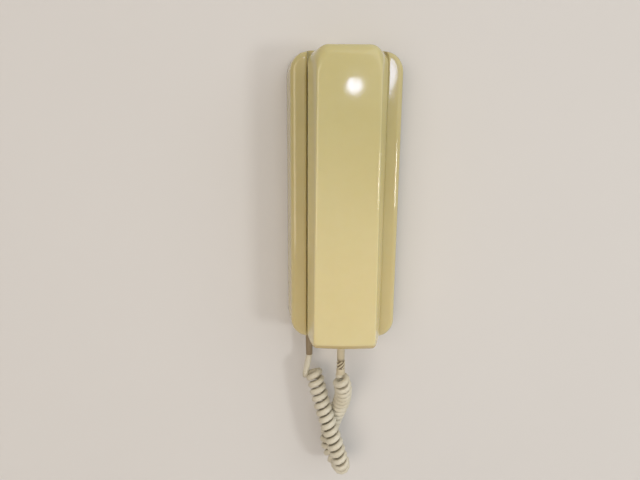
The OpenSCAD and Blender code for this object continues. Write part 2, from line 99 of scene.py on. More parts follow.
class HandsetSettings(bpy.types.PropertyGroup):
    """Sizes of the handset's front skin"""
    top: length_setting("Top end", "Height of the upper end", FRONT_HIGH[2])
    bottom: length_setting("Bottom end", "Height of the lower end", FRONT_LOW[2])
    front: length_setting("Front face", "Depth of the front face from the wall", FRONT_LOW[1])
    part: length_setting("Parting line", "Depth of the line between the shells", FRONT_HIGH[1])
    middle: length_setting("Middle", "Where the handset's middle hangs in the channel",
                           0.5 * (FRONT_LOW[0] + FRONT_HIGH[0]))
    half: length_setting("Half width", "Half the width at the widest edge",
                         0.5 * (FRONT_HIGH[0] - FRONT_LOW[0]))
    face_top: length_setting("Face half width, top", "Half width of the flat at the top", 0.0209)
    face_bottom: length_setting("Face half width, bottom", "Half width of the flat at the bottom", 0.0221)
    crown: length_setting("Crown", "How far the front face bulges across its width", 0.0004)


class CordSettings(bpy.types.PropertyGroup):
    """Sizes of the curly cord"""
    wire: length_setting("Cord diameter", "Diameter of the cord itself", 0.005)
    curl: length_setting("Curl diameter", "Outer diameter of the curls", 0.0144)
    pitch: length_setting("Pitch", "Advance of one turn of the curls", 0.00605)


class FinishSettings(bpy.types.PropertyGroup):
    """Colours of the finishes"""
    handset: colour_setting("Handset plastic", "Yellowed ivory of the handset", (0.623, 0.541, 0.274))
    base: colour_setting("Base plastic", "Yellowed ivory of the base", (0.575, 0.488, 0.240))
    cord: colour_setting("Cord vinyl", "Ivory vinyl of the cord", (0.645, 0.612, 0.500))
    wall: colour_setting("Wall", "Paint of the wall and the floor", (0.645, 0.63, 0.605))


# ---------------------------------------------------------------- node helpers

def feed(tree, made, values):
    """Gives each input its value, or a link where the value is a socket"""
    for key, value in values.items():
        if isinstance(value, bpy.types.NodeSocket):
            tree.links.new(value, made.inputs[key])
        else:
            made.inputs[key].default_value = value


def node(tree, kind, values=None, **settings):
    """Adds a node with its settings and feeds its inputs"""
    made = tree.nodes.new(kind)
    for key, value in settings.items():
        setattr(made, key, value)
    feed(tree, made, values or {})
    return made


def new_material(name):
    """Returns a material, its node tree, its principled shader and object coordinates"""
    mat = bpy.data.materials.new(name)
    mat.use_nodes = True
    tree = mat.node_tree
    tree.nodes.clear()
    shader = node(tree, "ShaderNodeBsdfPrincipled")
    node(tree, "ShaderNodeOutputMaterial", {"Surface": shader.outputs["BSDF"]})
    return mat, tree, shader, node(tree, "ShaderNodeTexCoord").outputs["Object"]


def maths(tree, operation, first, second=0.0):
    """One step of arithmetic on value links"""
    return node(tree, "ShaderNodeMath", {0: first, 1: second}, operation=operation).outputs[0]


def vectors(tree, operation, values):
    """One step of arithmetic on vector links"""
    return node(tree, "ShaderNodeVectorMath", values, operation=operation).outputs


def mix_colour(tree, factor, low, high):
    """Mixes two colours or colour links by a factor link"""
    return node(tree, "ShaderNodeMix", {0: factor, 6: low, 7: high}, data_type="RGBA").outputs[2]


def stained(tree, factor, tone, stain):
    """Multiplies a colour link by a stain, as far as the factor link says"""
    return node(tree, "ShaderNodeMix", {0: factor, 6: tone, 7: stain}, data_type="RGBA",
                blend_type="MULTIPLY").outputs[2]


def ramp(tree, source, low, high, to_low=0.0, to_high=1.0):
    """Maps a value link linearly and clamps it"""
    values = {0: source, 1: low, 2: high, 3: to_low, 4: to_high}
    return node(tree, "ShaderNodeMapRange", values).outputs[0]


def noise(tree, coords, scale, detail=3.0, stretch=None):
    """Noise on object coordinates, stretched if asked"""
    if stretch:
        coords = node(tree, "ShaderNodeMapping", {"Scale": stretch, "Vector": coords}).outputs["Vector"]
    values = {"Vector": coords, "Scale": scale, "Detail": detail}
    return node(tree, "ShaderNodeTexNoise", values).outputs["Fac"]


def bump(tree, height, strength, distance, under=None):
    """Normal of a fine relief, on top of another normal if one is given"""
    values = {"Height": height, "Strength": strength, "Distance": distance}
    if under:
        values["Normal"] = under
    return node(tree, "ShaderNodeBump", values).outputs["Normal"]


def shade(colour, factor):
    """A colour made darker or lighter"""
    return tuple(min(1.0, c * factor) for c in colour[:3]) + (1.0,)


def tint(colour, r, g, b):
    """A colour with each channel scaled"""
    return (colour[0] * r, colour[1] * g, colour[2] * b, 1.0)


# ---------------------------------------------------------------- finishes

# the slight sink in the moulding at the top of the right wing: where it fades in, and between which
# places its normal leans by how much
SINK_FADE = {"X": (0.026, 0.029), "Z": (0.058, 0.064), "Y": (-0.020, -0.026)}
SINK_LEAN = {"X": (0.0202, 0.0402, -0.0572, -0.0164), "Z": (0.068, 0.108, 0.0321, 0.0189)}
# roughness of the two mouldings; painted light on the surfaces inside the channel, a lighter colour that
# lightens the shade in the gap, and where that ends
GLOSS = 0.045
CHANNEL_PAINTED_LIGHT = (0.82, 0.71, 0.38, 1.0)
CHANNEL_END = (0.101, 0.097)
# colours that the aged plastic's colour is multiplied by: two stains, then painted shade for the handset's
# lower end, whose rounding faces down
FACE_STAIN = (0.965, 0.95, 0.90, 1.0)
MOTTLE_STAIN = (0.97, 0.96, 0.93, 1.0)
UNDERSIDE_SHADE = (0.80, 0.72, 0.60, 1.0)


def sunk_normal(tree, place):
    """The surface's normal, leaning where the moulding has its slight sink"""
    fades = [ramp(tree, place.outputs[key], *ends) for key, ends in SINK_FADE.items()]
    whole = maths(tree, "MULTIPLY", maths(tree, "MULTIPLY", fades[0], fades[1]), fades[2])
    lean = {key: ramp(tree, place.outputs[key], *ends) for key, ends in SINK_LEAN.items()}
    leaning = node(tree, "ShaderNodeCombineXYZ", lean).outputs[0]
    push = vectors(tree, "SCALE", {0: leaning, "Scale": whole})[0]
    normal = node(tree, "ShaderNodeNewGeometry").outputs["Normal"]
    total = vectors(tree, "ADD", {0: push, 1: normal})[0]
    return vectors(tree, "NORMALIZE", {0: total})[0]


def aged_plastic_with_painted_light(name, colour, ends, lift, deep, half, shaded_below=None, sunk=False):
    """Glossy moulded plastic that has yellowed unevenly, with handling scratches

    The colour is painted lighter low down and darker high up, by lift from its middle, between the two
    heights in ends: painted light and shade. Inside the channel a lighter colour sets in between the two
    depths in deep, up to half from the middle line: painted light that lightens the shade in the gap. Below
    the given height the lower end is darker: painted shade where its rounding faces down.
    """
    mat, tree, shader, coords = new_material(name)
    place = node(tree, "ShaderNodeSeparateXYZ", {0: coords})
    # painted light and shade: the colour is lighter low down and darker high up
    tone = mix_colour(tree, ramp(tree, place.outputs["Z"], *ends),
                      tint(colour, 1 + lift, 1 + 1.1 * lift, 1 + 1.8 * lift),
                      tint(colour, 1 - lift, 1 - 0.7 * lift, 1 - lift))
    tone = stained(tree, ramp(tree, noise(tree, coords, 22.0, 4.0), 0.3, 0.72), tone, FACE_STAIN)
    # painted light inside the channel: a lighter colour that lightens the shade in the gap
    between = ramp(tree, maths(tree, "ABSOLUTE", place.outputs["X"]), half, half - 0.001)
    within = ramp(tree, maths(tree, "ABSOLUTE", place.outputs["Z"]), *CHANNEL_END)
    gap_light = maths(tree, "MULTIPLY", ramp(tree, place.outputs["Y"], *deep), between)
    tone = mix_colour(tree, maths(tree, "MULTIPLY", gap_light, within), tone, CHANNEL_PAINTED_LIGHT)
    # painted shade: below this height the lower end, whose rounding faces down, is darker
    if shaded_below:
        tone = stained(tree, ramp(tree, place.outputs["Z"], shaded_below, shaded_below - 0.0008), tone, UNDERSIDE_SHADE)
    mottle = ramp(tree, noise(tree, coords, 160.0, 2.0), 0.35, 0.75, 0.0, 0.35)
    smear = ramp(tree, noise(tree, coords, 60.0, 5.0, (1.0, 1.0, 0.25)), 0.3, 0.75, GLOSS, GLOSS + 0.06)
    scratch = ramp(tree, noise(tree, coords, 900.0, 2.0, (1.0, 1.0, 0.03)), 0.62, 0.74, 0.0, 0.12)
    feed(tree, shader, {
        "Base Color": stained(tree, mottle, tone, MOTTLE_STAIN),
        "Roughness": maths(tree, "ADD", smear, scratch),
        "Normal": bump(tree, noise(tree, coords, 210.0), 0.02, 0.0006,
                       sunk_normal(tree, place) if sunk else None),
        "Subsurface Weight": 0.3, "Subsurface Radius": (1.0, 0.75, 0.35), "Subsurface Scale": 0.002,
        "IOR": 1.5, "Coat Weight": 0.15, "Coat Roughness": 0.06})
    return mat


def matt_plastic(name, colour, rough=0.5, grain=500.0):
    """Plain moulded plastic with a fine spark-eroded grain"""
    mat, tree, shader, coords = new_material(name)
    cloud = ramp(tree, noise(tree, coords, 45.0), 0.3, 0.7)
    feed(tree, shader, {
        "Base Color": mix_colour(tree, cloud, shade(colour, 0.93), shade(colour, 1.05)),
        "Roughness": ramp(tree, noise(tree, coords, 120.0), 0.3, 0.7, rough - 0.06, rough + 0.08),
        "Normal": bump(tree, noise(tree, coords, grain, 4.0), 0.12, 0.0002)})
    return mat


def vinyl(name, colour, grooves=None, turns=False):
    """Soft cord vinyl: satin, a little dusty, with painted shade in a sleeve's grooves or between the turns

    grooves holds the place of the sleeve's axis and the radius up to which the painted shade reaches.
    """
    mat, tree, shader, coords = new_material(name)
    cloud = ramp(tree, noise(tree, coords, 70.0, 4.0), 0.3, 0.72)
    tone = mix_colour(tree, cloud, shade(colour, 1.04), tint(colour, 0.90, 0.87, 0.80))
    dust = ramp(tree, noise(tree, coords, 420.0), 0.55, 0.8, 0.0, 0.5)
    tone = mix_colour(tree, dust, tone, tint(colour, 0.78, 0.74, 0.66))
    # painted shade in the sleeve's grooves: inside the given radius the sleeve is darker
    if grooves:
        x, y, radius = grooves
        flat = vectors(tree, "MULTIPLY", {0: coords, 1: (1.0, 1.0, 0.0)})[0]
        away = vectors(tree, "DISTANCE", {0: flat, 1: (x, y, 0.0)})["Value"]
        outside_shade = ramp(tree, away, radius, radius + 0.0003)
        tone = mix_colour(tree, outside_shade, tint(colour, 0.30, 0.26, 0.20), tone)
    # painted shade between the turns: the sides that face the next turn are darker
    if turns:
        toward = node(tree, "ShaderNodeAttribute", attribute_name="toward_turn").outputs["Fac"]
        tone = mix_colour(tree, ramp(tree, toward, 0.83, 0.99), tone, tint(colour, 0.42, 0.37, 0.30))
    feed(tree, shader, {
        "Base Color": tone,
        "Roughness": ramp(tree, noise(tree, coords, 180.0), 0.3, 0.7, 0.38, 0.52),
        "Normal": bump(tree, noise(tree, coords, 700.0), 0.08, 0.0002)})
    return mat


def metal(name, colour, rough, brushed=None):
    """Plated or machined metal, brushed along one direction if asked"""
    mat, tree, shader, coords = new_material(name)
    cloud = ramp(tree, noise(tree, coords, 60.0, 4.0), 0.3, 0.7)
    grain = noise(tree, coords, 500.0, 3.0, brushed)
    feed(tree, shader, {
        "Base Color": mix_colour(tree, cloud, shade(colour, 0.88), shade(colour, 1.06)),
        "Roughness": ramp(tree, grain, 0.25, 0.75, rough - 0.08, rough + 0.1),
        "Normal": bump(tree, grain, 0.1, 0.0001),
        "Metallic": 1.0})
    return mat


def wall_paint(name, colour):
    """Pale backdrop: seen from behind it lets the view through"""
    mat, tree, shader, coords = new_material(name)
    cloud = ramp(tree, noise(tree, coords, 3.0), 0.3, 0.7)
    feed(tree, shader, {
        "Base Color": mix_colour(tree, cloud, shade(colour, 0.985), shade(colour, 1.01)),
        "Roughness": 0.85, "Specular IOR Level": 0.2})
    mix = node(tree, "ShaderNodeMixShader", {
        0: node(tree, "ShaderNodeNewGeometry").outputs["Backfacing"], 1: shader.outputs["BSDF"],
        2: node(tree, "ShaderNodeBsdfTransparent").outputs[0]})
    out = next(n for n in tree.nodes if n.type == "OUTPUT_MATERIAL")
    tree.links.new(mix.outputs[0], out.inputs["Surface"])
    return mat


def dress(piece, mat):
    """Gives a piece its one material"""
    piece.data.materials.clear()
    piece.data.materials.append(mat)


# ---------------------------------------------------------------- mesh helpers

def add_piece(name, mesh):
    """Puts a mesh into the scene"""
    made = bpy.data.objects.new(name, mesh)
    bpy.context.scene.collection.objects.link(made)
    return made


def from_lists(name, points, faces, smooth=True):
    """A piece from its points and faces"""
    mesh = bpy.data.meshes.new(name)
    mesh.from_pydata([tuple(p) for p in points], [], faces)
    mesh.update()
    if smooth:
        mesh.shade_smooth()
    return add_piece(name, mesh)


def applied(piece):
    """Returns the piece with its modifiers turned into plain mesh"""
    graph = bpy.context.evaluated_depsgraph_get()
    mesh = bpy.data.meshes.new_from_object(piece.evaluated_get(graph))
    piece.modifiers.clear()
    old = piece.data
    piece.data = mesh
    mesh.name = piece.name
    if old.users == 0:
        bpy.data.meshes.remove(old)
    return piece


def outward(piece):
    """Merges doubled points and turns all faces outward"""
    work = bmesh.new()
    work.from_mesh(piece.data)
    bmesh.ops.remove_doubles(work, verts=work.verts, dist=1e-6)
    bmesh.ops.recalc_face_normals(work, faces=work.faces)
    work.to_mesh(piece.data)
    work.free()


def softened(source, name, width, angle=32.0, segments=2):
    """A copy of a moulding with its corners rounded as the tool leaves them"""
    work = bmesh.new()
    work.from_mesh(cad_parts[source].data)
    bmesh.ops.remove_doubles(work, verts=work.verts, dist=2e-6)
    bmesh.ops.dissolve_limit(work, angle_limit=math.radians(0.6), verts=work.verts, edges=work.edges)
    mesh = bpy.data.meshes.new(name)
    work.to_mesh(mesh)
    work.free()
    piece = add_piece(name, mesh)
    round_off = piece.modifiers.new("Edges", "BEVEL")
    round_off.width = width
    round_off.segments = segments
    round_off.limit_method = "ANGLE"
    round_off.angle_limit = math.radians(angle)
    round_off.use_clamp_overlap = True
    mesh.shade_smooth()
    level = piece.modifiers.new("Normals", "WEIGHTED_NORMAL")
    level.keep_sharp = True
    level.weight = 100
    applied(piece)
    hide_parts(source)
    return piece


def arc(cx, cz, rx, rz, start, count):
    """Quarter of an ellipse, without its last point"""
    return [(cx + rx * math.cos(start + math.pi / 2 * k / count),
             cz + rz * math.sin(start + math.pi / 2 * k / count)) for k in range(count)]


def line(a, b, count):
    """Even points from a to b, without b"""
    return [(a[0] + (b[0] - a[0]) * k / count, a[1] + (b[1] - a[1]) * k / count) for k in range(count)]


def bands(rings, count, start=0):
    """Faces between closed rings of count points each, from the point numbered start on"""
    faces = []
    for first in range(start, start + (rings - 1) * count, count):
        for k in range(count):
            a, b = first + k, first + (k + 1) % count
            faces.append((a, b, b + count, a + count))
    return faces


def capped(rings, count):
    """Faces of a closed body: the bands between its rings, and a cap on both ends"""
    last = (rings - 1) * count
    return [*bands(rings, count), tuple(reversed(range(count))), tuple(range(last, last + count))]


def revolved(name, profile, middle, sides=40):
    """A closed round body about an upright axis from (radius, height) pairs, bottom to top"""
    angles = [2 * math.pi * k / sides for k in range(sides)]
    points = [(middle[0] + r * math.cos(a), middle[1] + r * math.sin(a), z) for r, z in profile
              for a in angles]
    return from_lists(name, points, capped(len(profile), sides))


def joined(pieces):
    """Joins closed pieces into the first one's mesh"""
    work = bmesh.new()
    for piece in pieces:
        work.from_mesh(piece.data)
    work.to_mesh(pieces[0].data)
    work.free()
    for piece in pieces[1:]:
        mesh = piece.data
        bpy.data.objects.remove(piece)
        bpy.data.meshes.remove(mesh)
    return pieces[0]


def islands(source):
    """Lowest and highest corner of every loose body of a CAD node"""
    work = bmesh.new()
    work.from_mesh(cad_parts[source].data)
    bmesh.ops.remove_doubles(work, verts=work.verts, dist=2e-6)
    found, seen = [], set()
    for start in work.verts:
        if start.index in seen:
            continue
        seen.add(start.index)
        todo, group = [start], []
        while todo:
            vert = todo.pop()
            group.append(vert.co.copy())
            for edge in vert.link_edges:
                other = edge.other_vert(vert)
                if other.index not in seen:
                    seen.add(other.index)
                    todo.append(other)
        low = Vector([min(p[k] for p in group) for k in range(3)])
        high = Vector([max(p[k] for p in group) for k in range(3)])
        found.append((low, high))
    work.free()
    return found


# ---------------------------------------------------------------- geometry nodes

def node_group(name, sockets):
    """A geometry node group with named inputs; returns it, what it is given and its output node"""
    group = bpy.data.node_groups.new(name, "GeometryNodeTree")
    face = group.interface
    face.new_socket("Geometry", in_out="INPUT", socket_type="NodeSocketGeometry")
    for key, kind in sockets:
        face.new_socket(key, in_out="INPUT", socket_type="NodeSocket" + kind)
    face.new_socket("Geometry", in_out="OUTPUT", socket_type="NodeSocketGeometry")
    return group, group.nodes.new("NodeGroupInput").outputs, group.nodes.new("NodeGroupOutput")


def finish_group(tree, given, out, points, instance, rotation):
    """Ends a group: an instance on every point, as real geometry with its material"""
    spread = node(tree, "GeometryNodeInstanceOnPoints",
                  {"Points": points, "Instance": instance, "Rotation": rotation})
    real = node(tree, "GeometryNodeRealizeInstances", {0: spread.outputs[0]})
    paint = node(tree, "GeometryNodeSetMaterial", {0: real.outputs[0], "Material": given["Material"]})
    tree.links.new(paint.outputs[0], out.inputs[0])


def moved(tree, part, place=(0, 0, 0), scale=(1, 1, 1)):
    """Moves and scales a geometry link"""
    values = {0: part, "Translation": place, "Scale": scale}
    return node(tree, "GeometryNodeTransform", values).outputs[0]


def boolean(tree, operation, *parts):
    """Union or intersection of geometry links; a difference takes the rest from the first"""
    made = node(tree, "GeometryNodeMeshBoolean", operation=operation)
    for k, part in enumerate(parts):
        whole = operation == "DIFFERENCE" and k == 0
        tree.links.new(part, made.inputs["Mesh 1" if whole else "Mesh 2"])
    return made.outputs[0]


def tube_along(tree, curve, sides, radius):
    """A closed tube along a curve link"""
    ring = node(tree, "GeometryNodeCurvePrimitiveCircle", {"Resolution": sides, "Radius": radius})
    values = {"Curve": curve, "Profile Curve": ring.outputs[0], "Fill Caps": True}
    return node(tree, "GeometryNodeCurveToMesh", values).outputs[0]


def screw_nodes():
    """A screw on every point: domed head with a cross recess and a threaded shank along an axis"""
    tree, given, out = node_group("screws_on_points", (
        ("Head", "Vector"), ("Shank", "Vector"), ("Axis", "Vector"), ("Threads", "Float"),
        ("Thread", "Float"), ("Material", "Material")))
    disc = node(tree, "GeometryNodeMeshCylinder", {"Vertices": 32, "Radius": 1.0, "Depth": 0.5})
    ball = node(tree, "GeometryNodeMeshUVSphere", {"Segments": 32, "Rings": 16, "Radius": 0.995})
    slab, *bars = [node(tree, "GeometryNodeMeshCube", {"Size": size}).outputs[0]
                   for size in ((3, 3, 1), (1.15, 0.26, 1.0), (0.26, 1.15, 1.0))]
    cap = boolean(tree, "INTERSECT", moved(tree, ball.outputs[0], (0, 0, 0.45), (1, 1, 0.55)),
                  moved(tree, slab, (0, 0, 0.8)))
    head = boolean(tree, "UNION", moved(tree, disc.outputs[0], (0, 0, 0.25)), cap)
    head = boolean(tree, "DIFFERENCE", head, *[moved(tree, bar, (0, 0, 0.95)) for bar in bars])

    core = node(tree, "GeometryNodeMeshCylinder", {"Vertices": 20, "Radius": 1.0, "Depth": 1.0})
    coil = node(tree, "GeometryNodeCurveSpiral", {
        "Resolution": 16, "Start Radius": 1.0, "End Radius": 1.0, "Height": 0.72,
        "Rotations": given["Threads"]})
    shank = moved(tree, moved(tree, core.outputs[0], (0, 0, -0.5)), scale=given["Shank"])
    coil = moved(tree, moved(tree, coil.outputs[0], (0, 0, -0.95)), scale=given["Shank"])
    thread = tube_along(tree, coil, 6, given["Thread"])

    whole = node(tree, "GeometryNodeJoinGeometry")
    for part in (thread, shank, moved(tree, head, scale=given["Head"])):
        tree.links.new(part, whole.inputs[0])
    turn = node(tree, "FunctionNodeAlignRotationToVector", {"Vector": given["Axis"]}, axis="Z")
    finish_group(tree, given, out, given["Geometry"], whole.outputs[0], turn.outputs[0])
    return tree


def rib_nodes():
    """Slanting ribs round a sleeve: one short spiral, repeated round the axis"""
    tree, given, out = node_group("ribs_round_sleeve", (
        ("Radius", "Float"), ("Height", "Float"), ("Turns", "Float"), ("Starts", "Int"), ("Rib", "Float"),
        ("Place", "Vector"), ("Material", "Material")))
    coil = node(tree, "GeometryNodeCurveSpiral", {
        "Resolution": 48, "Reverse": True, "Start Radius": given["Radius"],
        "End Radius": given["Radius"], "Height": given["Height"], "Rotations": given["Turns"]})
    rib = tube_along(tree, coil.outputs[0], 12, given["Rib"])
    dots = node(tree, "GeometryNodePoints", {"Count": given["Starts"], "Position": given["Place"]})
    index = node(tree, "GeometryNodeInputIndex").outputs[0]
    angle = maths(tree, "MULTIPLY", maths(tree, "DIVIDE", index, given["Starts"]), 2 * math.pi)
    turn = node(tree, "ShaderNodeCombineXYZ", {"Z": angle})
    finish_group(tree, given, out, dots.outputs[0], rib, turn.outputs[0])
    return tree


def grown(name, group, values, points=((0, 0, 0),)):
    """Runs a node group on a few points and keeps the result as a plain mesh"""
    piece = from_lists(name, points, [], smooth=False)
    maker = piece.modifiers.new("Nodes", "NODES")
    maker.node_group = group
    for item in group.interface.items_tree:
        if item.in_out == "INPUT" and item.name in values:
            maker[item.identifier] = values[item.name]
    return applied(piece)


# ---------------------------------------------------------------- handset

# the front skin's roundings along the face's sides and at the top, and the rise of its lower end
EDGE_ROUND = 0.0009
TOP_ROUND = 0.008
LOWER_RISE = 0.0052
LOWER_DEPTH = 0.0075
# its corner radii at the face, and how they change down to the parting line
TOP_CORNER = ((0.0085, 0.0025), (0.0125, -0.0015))
LOWER_CORNER = (0.003, 0.002)
# steps along a corner, an end and a side
TOP_STEPS, LOWER_STEPS, END_STEPS, SIDE_STEPS = 14, 12, 16, 40
# how far the lower end bulges down, and how far that reaches across, up and back
BOW, BOW_X, BOW_Z, BOW_Y = 0.0012, 0.024, 0.016, 0.014
# fall of the face at both ends; where its bend at the top starts, and twice that bend's radius
END_FALL, BEND_START, BEND_DOUBLE = 0.0007, 0.060, 1.3
# down to this depth the sides follow the face's crown
CROWN_DEPTH = 0.012
# rings of the face, as shares of its outline; levels of the sides, as angles of the top's rounding, as
# depths below the face and as distances before the parting line
FACE_RINGS = (0.06, 0.14, 0.25, 0.38, 0.52, 0.66, 0.78, 0.87, 0.93, 0.965, 0.985)
LEVEL_ANGLES = (0, 4, 8, 12, 17, 22, 28, 34, 41, 49, 58, 68, 79, 90)
LEVELS = (0.0001, 0.0002, 0.0004, 0.010, 0.013, 0.016, 0.019)
BEFORE_PARTING = (0.0012, 0.0004, 0.0)
# the skin's last ring is drawn in by this much
TUCK = 0.0005
SKIN_THICKNESS = 0.0022


def inset(depth, radius):
    """How far a rounding of this radius has drawn the edge in at a depth below the face"""
    if depth >= radius:
        return 0.0
    return radius - math.sqrt(max(radius * radius - (radius - depth) ** 2, 0.0))


def bow(s, x, z):
    """How far the lower end bulges down between its corners"""
    return -BOW * (1 - min(1.0, (x / BOW_X) ** 2)) * max(0.0, 1 - (z - s.bottom) / BOW_Z)


def skin_ring(s, depth):
    """One level of the handset's front skin: points around its outline"""
    share = min(depth / (abs(s.part - s.front) - 0.001), 1.0)
    side = inset(depth, EDGE_ROUND)
    top = s.top - inset(depth, TOP_ROUND)
    low = s.bottom + LOWER_RISE * max(0.0, 1 - depth / LOWER_DEPTH) ** 2
    upper = s.face_top + (s.half - s.face_top) * share - side
    lower = s.face_bottom + (s.half - s.face_bottom) * share - side
    tx, tz = [radius + change * share for radius, change in TOP_CORNER]
    b = LOWER_CORNER[0] + LOWER_CORNER[1] * share

    ring = arc(upper - tx, top - tz, tx, tz, 0.0, TOP_STEPS)
    ring += line((upper - tx, top), (-upper + tx, top), END_STEPS)
    ring += arc(-upper + tx, top - tz, tx, tz, math.pi / 2, TOP_STEPS)
    ring += line((-upper, top - tz), (-lower, low + b), SIDE_STEPS)
    ring += arc(-lower + b, low + b, b, b, math.pi, LOWER_STEPS)
    ring += line((-lower + b, low), (lower - b, low), END_STEPS)
    ring += arc(lower - b, low + b, b, b, 1.5 * math.pi, LOWER_STEPS)
    ring += line((lower, low + b), (upper, top - tz), SIDE_STEPS)
    fade = max(0.0, 1 - depth / BOW_Y)
    return [(s.middle + x, z + fade * bow(s, x, z)) for x, z in ring]


def crown(s, x, z):
    """How far the face falls back from its highest line at a place"""
    mid = 0.5 * (s.top + s.bottom)
    long = (z - mid) / (0.5 * (s.top - s.bottom))
    high = max(0.0, z - BEND_START)
    return s.crown * ((x - s.middle) / s.face_top) ** 2 + END_FALL * long ** 4 + high * high / BEND_DOUBLE


def front_skin(s):
    """The handset's front: a flat, slightly crowned face, sloping sides and rounded ends"""
    full = abs(s.part - s.front)
    levels = [TOP_ROUND * (1 - math.cos(math.radians(a))) for a in LEVEL_ANGLES]
    levels += [*LEVELS, *(full - before for before in BEFORE_PARTING)]
    mid = 0.5 * (s.top + s.bottom)
    first = skin_ring(s, 0.0)
    count = len(first)
    points = [(s.middle, s.front + crown(s, s.middle, mid), mid)]
    for share in FACE_RINGS:
        for x, z in first:
            px, pz = s.middle + (x - s.middle) * share, mid + (z - mid) * share
            points.append((px, s.front + crown(s, px, pz), pz))
    for depth in sorted(set(round(v, 6) for v in levels)):
        fade = max(0.0, 1.0 - depth / CROWN_DEPTH)
        tuck = TUCK if depth > full - 0.0003 else 0.0
        for x, z in skin_ring(s, depth):
            y = s.front + depth + crown(s, x, z) * fade * fade
            points.append((s.middle + (x - s.middle) * (1 - tuck / s.half), y, z))
    faces = [(0, 1 + (k + 1) % count, 1 + k) for k in range(count)]
    return points, faces + bands(len(points) // count, count, start=1)


class DOORPHONE_OT_handset_front(bpy.types.Operator):
    """Front shell of the handset with its crowned face and sloping sides"""
    bl_idname = "doorphone.handset_front"
    bl_label = "Handset front"

    def execute(self, context):
        points, faces = front_skin(context.scene.doorphone_handset)
        piece = from_lists("handset_front_shell", points, faces)
        outward(piece)
        shell = piece.modifiers.new("Wall", "SOLIDIFY")
        shell.thickness = SKIN_THICKNESS
        shell.offset = -1.0
        applied(piece)
        piece.data.shade_smooth()
        piece.data.set_sharp_from_angle(angle=math.radians(50))
        dress(piece, aged_plastic_with_painted_light("aged_ivory_handset_painted_light", context.scene.doorphone_finish.handset,
                                  ends=(-0.05, 0.06), lift=0.117, deep=(-0.0280, -0.0245), half=0.1,
                                  shaded_below=-0.0996))
        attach(piece, "handset")
        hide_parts("handset_front")
        return {"FINISHED"}


def square_corners(piece, s, old=0.008, new=0.005):
    """Draws the lower corners out to the front skin's radius"""
    for vert in piece.data.vertices:
        x, z = vert.co.x - s.middle, vert.co.z
        dx, dz = abs(x) - (s.half - old), (s.bottom + old) - z
        if dx <= 0 or dz <= 0:
            continue
        r = math.hypot(dx, dz)
        ux, uz = dx / r, dz / r
        shift = old - new
        along = shift * (ux + uz)
        reach = along + math.sqrt(max(along * along - 2 * shift * shift + new * new, 0.0))
        reach = min(reach, old / max(ux, uz, 1e-6))
        grow = 1 + (reach / old - 1) * min(1.0, r / old)
        vert.co.x = s.middle + math.copysign(s.half - old + dx * grow, x)
        vert.co.z = s.bottom + old - dz * grow


class DOORPHONE_OT_handset_rear(bpy.types.Operator):
    """Rear shell of the handset with its ear disc"""
    bl_idname = "doorphone.handset_rear"
    bl_label = "Handset rear"

    def execute(self, context):
        piece = softened("handset_rear", "handset_rear_shell", 0.0006)
        square_corners(piece, context.scene.doorphone_handset)
        dress(piece, bpy.data.materials["aged_ivory_handset_painted_light"])
        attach(piece, "handset")
        return {"FINISHED"}


# the channel's walls and lips: where they lie, and how much closer the left and the right ones come
WALL_Y = (-0.0286, -0.0176)
WALL_X = (0.0278, 0.0312)
WALL_END = 0.111
WALL_FADE = 0.0017
CLOSER_LEFT, CLOSER_RIGHT = 0.0011, 0.0007


def snug_channel(piece):
    """Brings the channel's walls and lips close up to the handset"""
    for vert in piece.data.vertices:
        x, y, z = vert.co
        if not (WALL_Y[0] < y < WALL_Y[1] and WALL_X[0] < abs(x) < WALL_X[1] and abs(z) < WALL_END):
            continue
        closer = CLOSER_RIGHT if x > 0 else CLOSER_LEFT
        vert.co.x = math.copysign(abs(x) - closer * min(1.0, (WALL_X[1] - abs(x)) / WALL_FADE), x)


class DOORPHONE_OT_base_cover(bpy.types.Operator):
    """Cover of the base with its wings, channel and tongue"""
    bl_idname = "doorphone.base_cover"
    bl_label = "Base cover"

    def execute(self, context):
        piece = softened("base_cover", "base_cover_shell", 0.0009, angle=28.0, segments=3)
        snug_channel(piece)
        dress(piece, aged_plastic_with_painted_light("aged_ivory_base_painted_light", context.scene.doorphone_finish.base,
                                  ends=(-0.07, 0.06), lift=0.10, deep=(-0.0275, -0.026), half=0.0300,
                                  sunk=True))
        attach(piece, "base")
        return {"FINISHED"}


# ---------------------------------------------------------------- cord

# points of the first half turn; by which share of the radius it starts wider and is drawn in halfway
HALF_TURN, START_WIDER, HALF_DRAWN = 12, 0.55, 0.45
# points over which the last turn closes on the axis, the painted shade between turns sets in and ends, and
# points without it
RUN_IN, TURN_SHADE_IN, TURN_SHADE_OUT, TURN_SHADE_CLEAR = 9, 10, 12, 6
# side of the tube on which each of its rings starts
TUBE_START = (1, 0.2, 0)


def smooth_route(route, step=0.0006):
    """Even points on a smooth curve through the route, in metres"""
    pts = [Vector(p) * MM for p in route]
    ends = [pts[0] * 2 - pts[1]] + pts + [pts[-1] * 2 - pts[-2]]
    dense = []
    for a, b, c, d in zip(ends, ends[1:], ends[2:], ends[3:]):
        for k in range(24):
            t = k / 24
            dense.append(0.5 * (2 * b + (c - a) * t + (2 * a - 5 * b + 4 * c - d) * t * t
                                + (3 * b - a - 3 * c + d) * t ** 3))
    dense.append(pts[-1])
    marks = [0.0]
    for a, b in zip(dense, dense[1:]):
        marks.append(marks[-1] + (b - a).length)
    count = max(2, round(marks[-1] / step))
    even, k = [], 0
    for n in range(count + 1):
        want = marks[-1] * n / count
        while k < len(marks) - 2 and marks[k + 1] < want:
            k += 1
        span = marks[k + 1] - marks[k]
        even.append(dense[k].lerp(dense[k + 1], (want - marks[k]) / span if span else 0.0))
    return even, marks[-1] / count


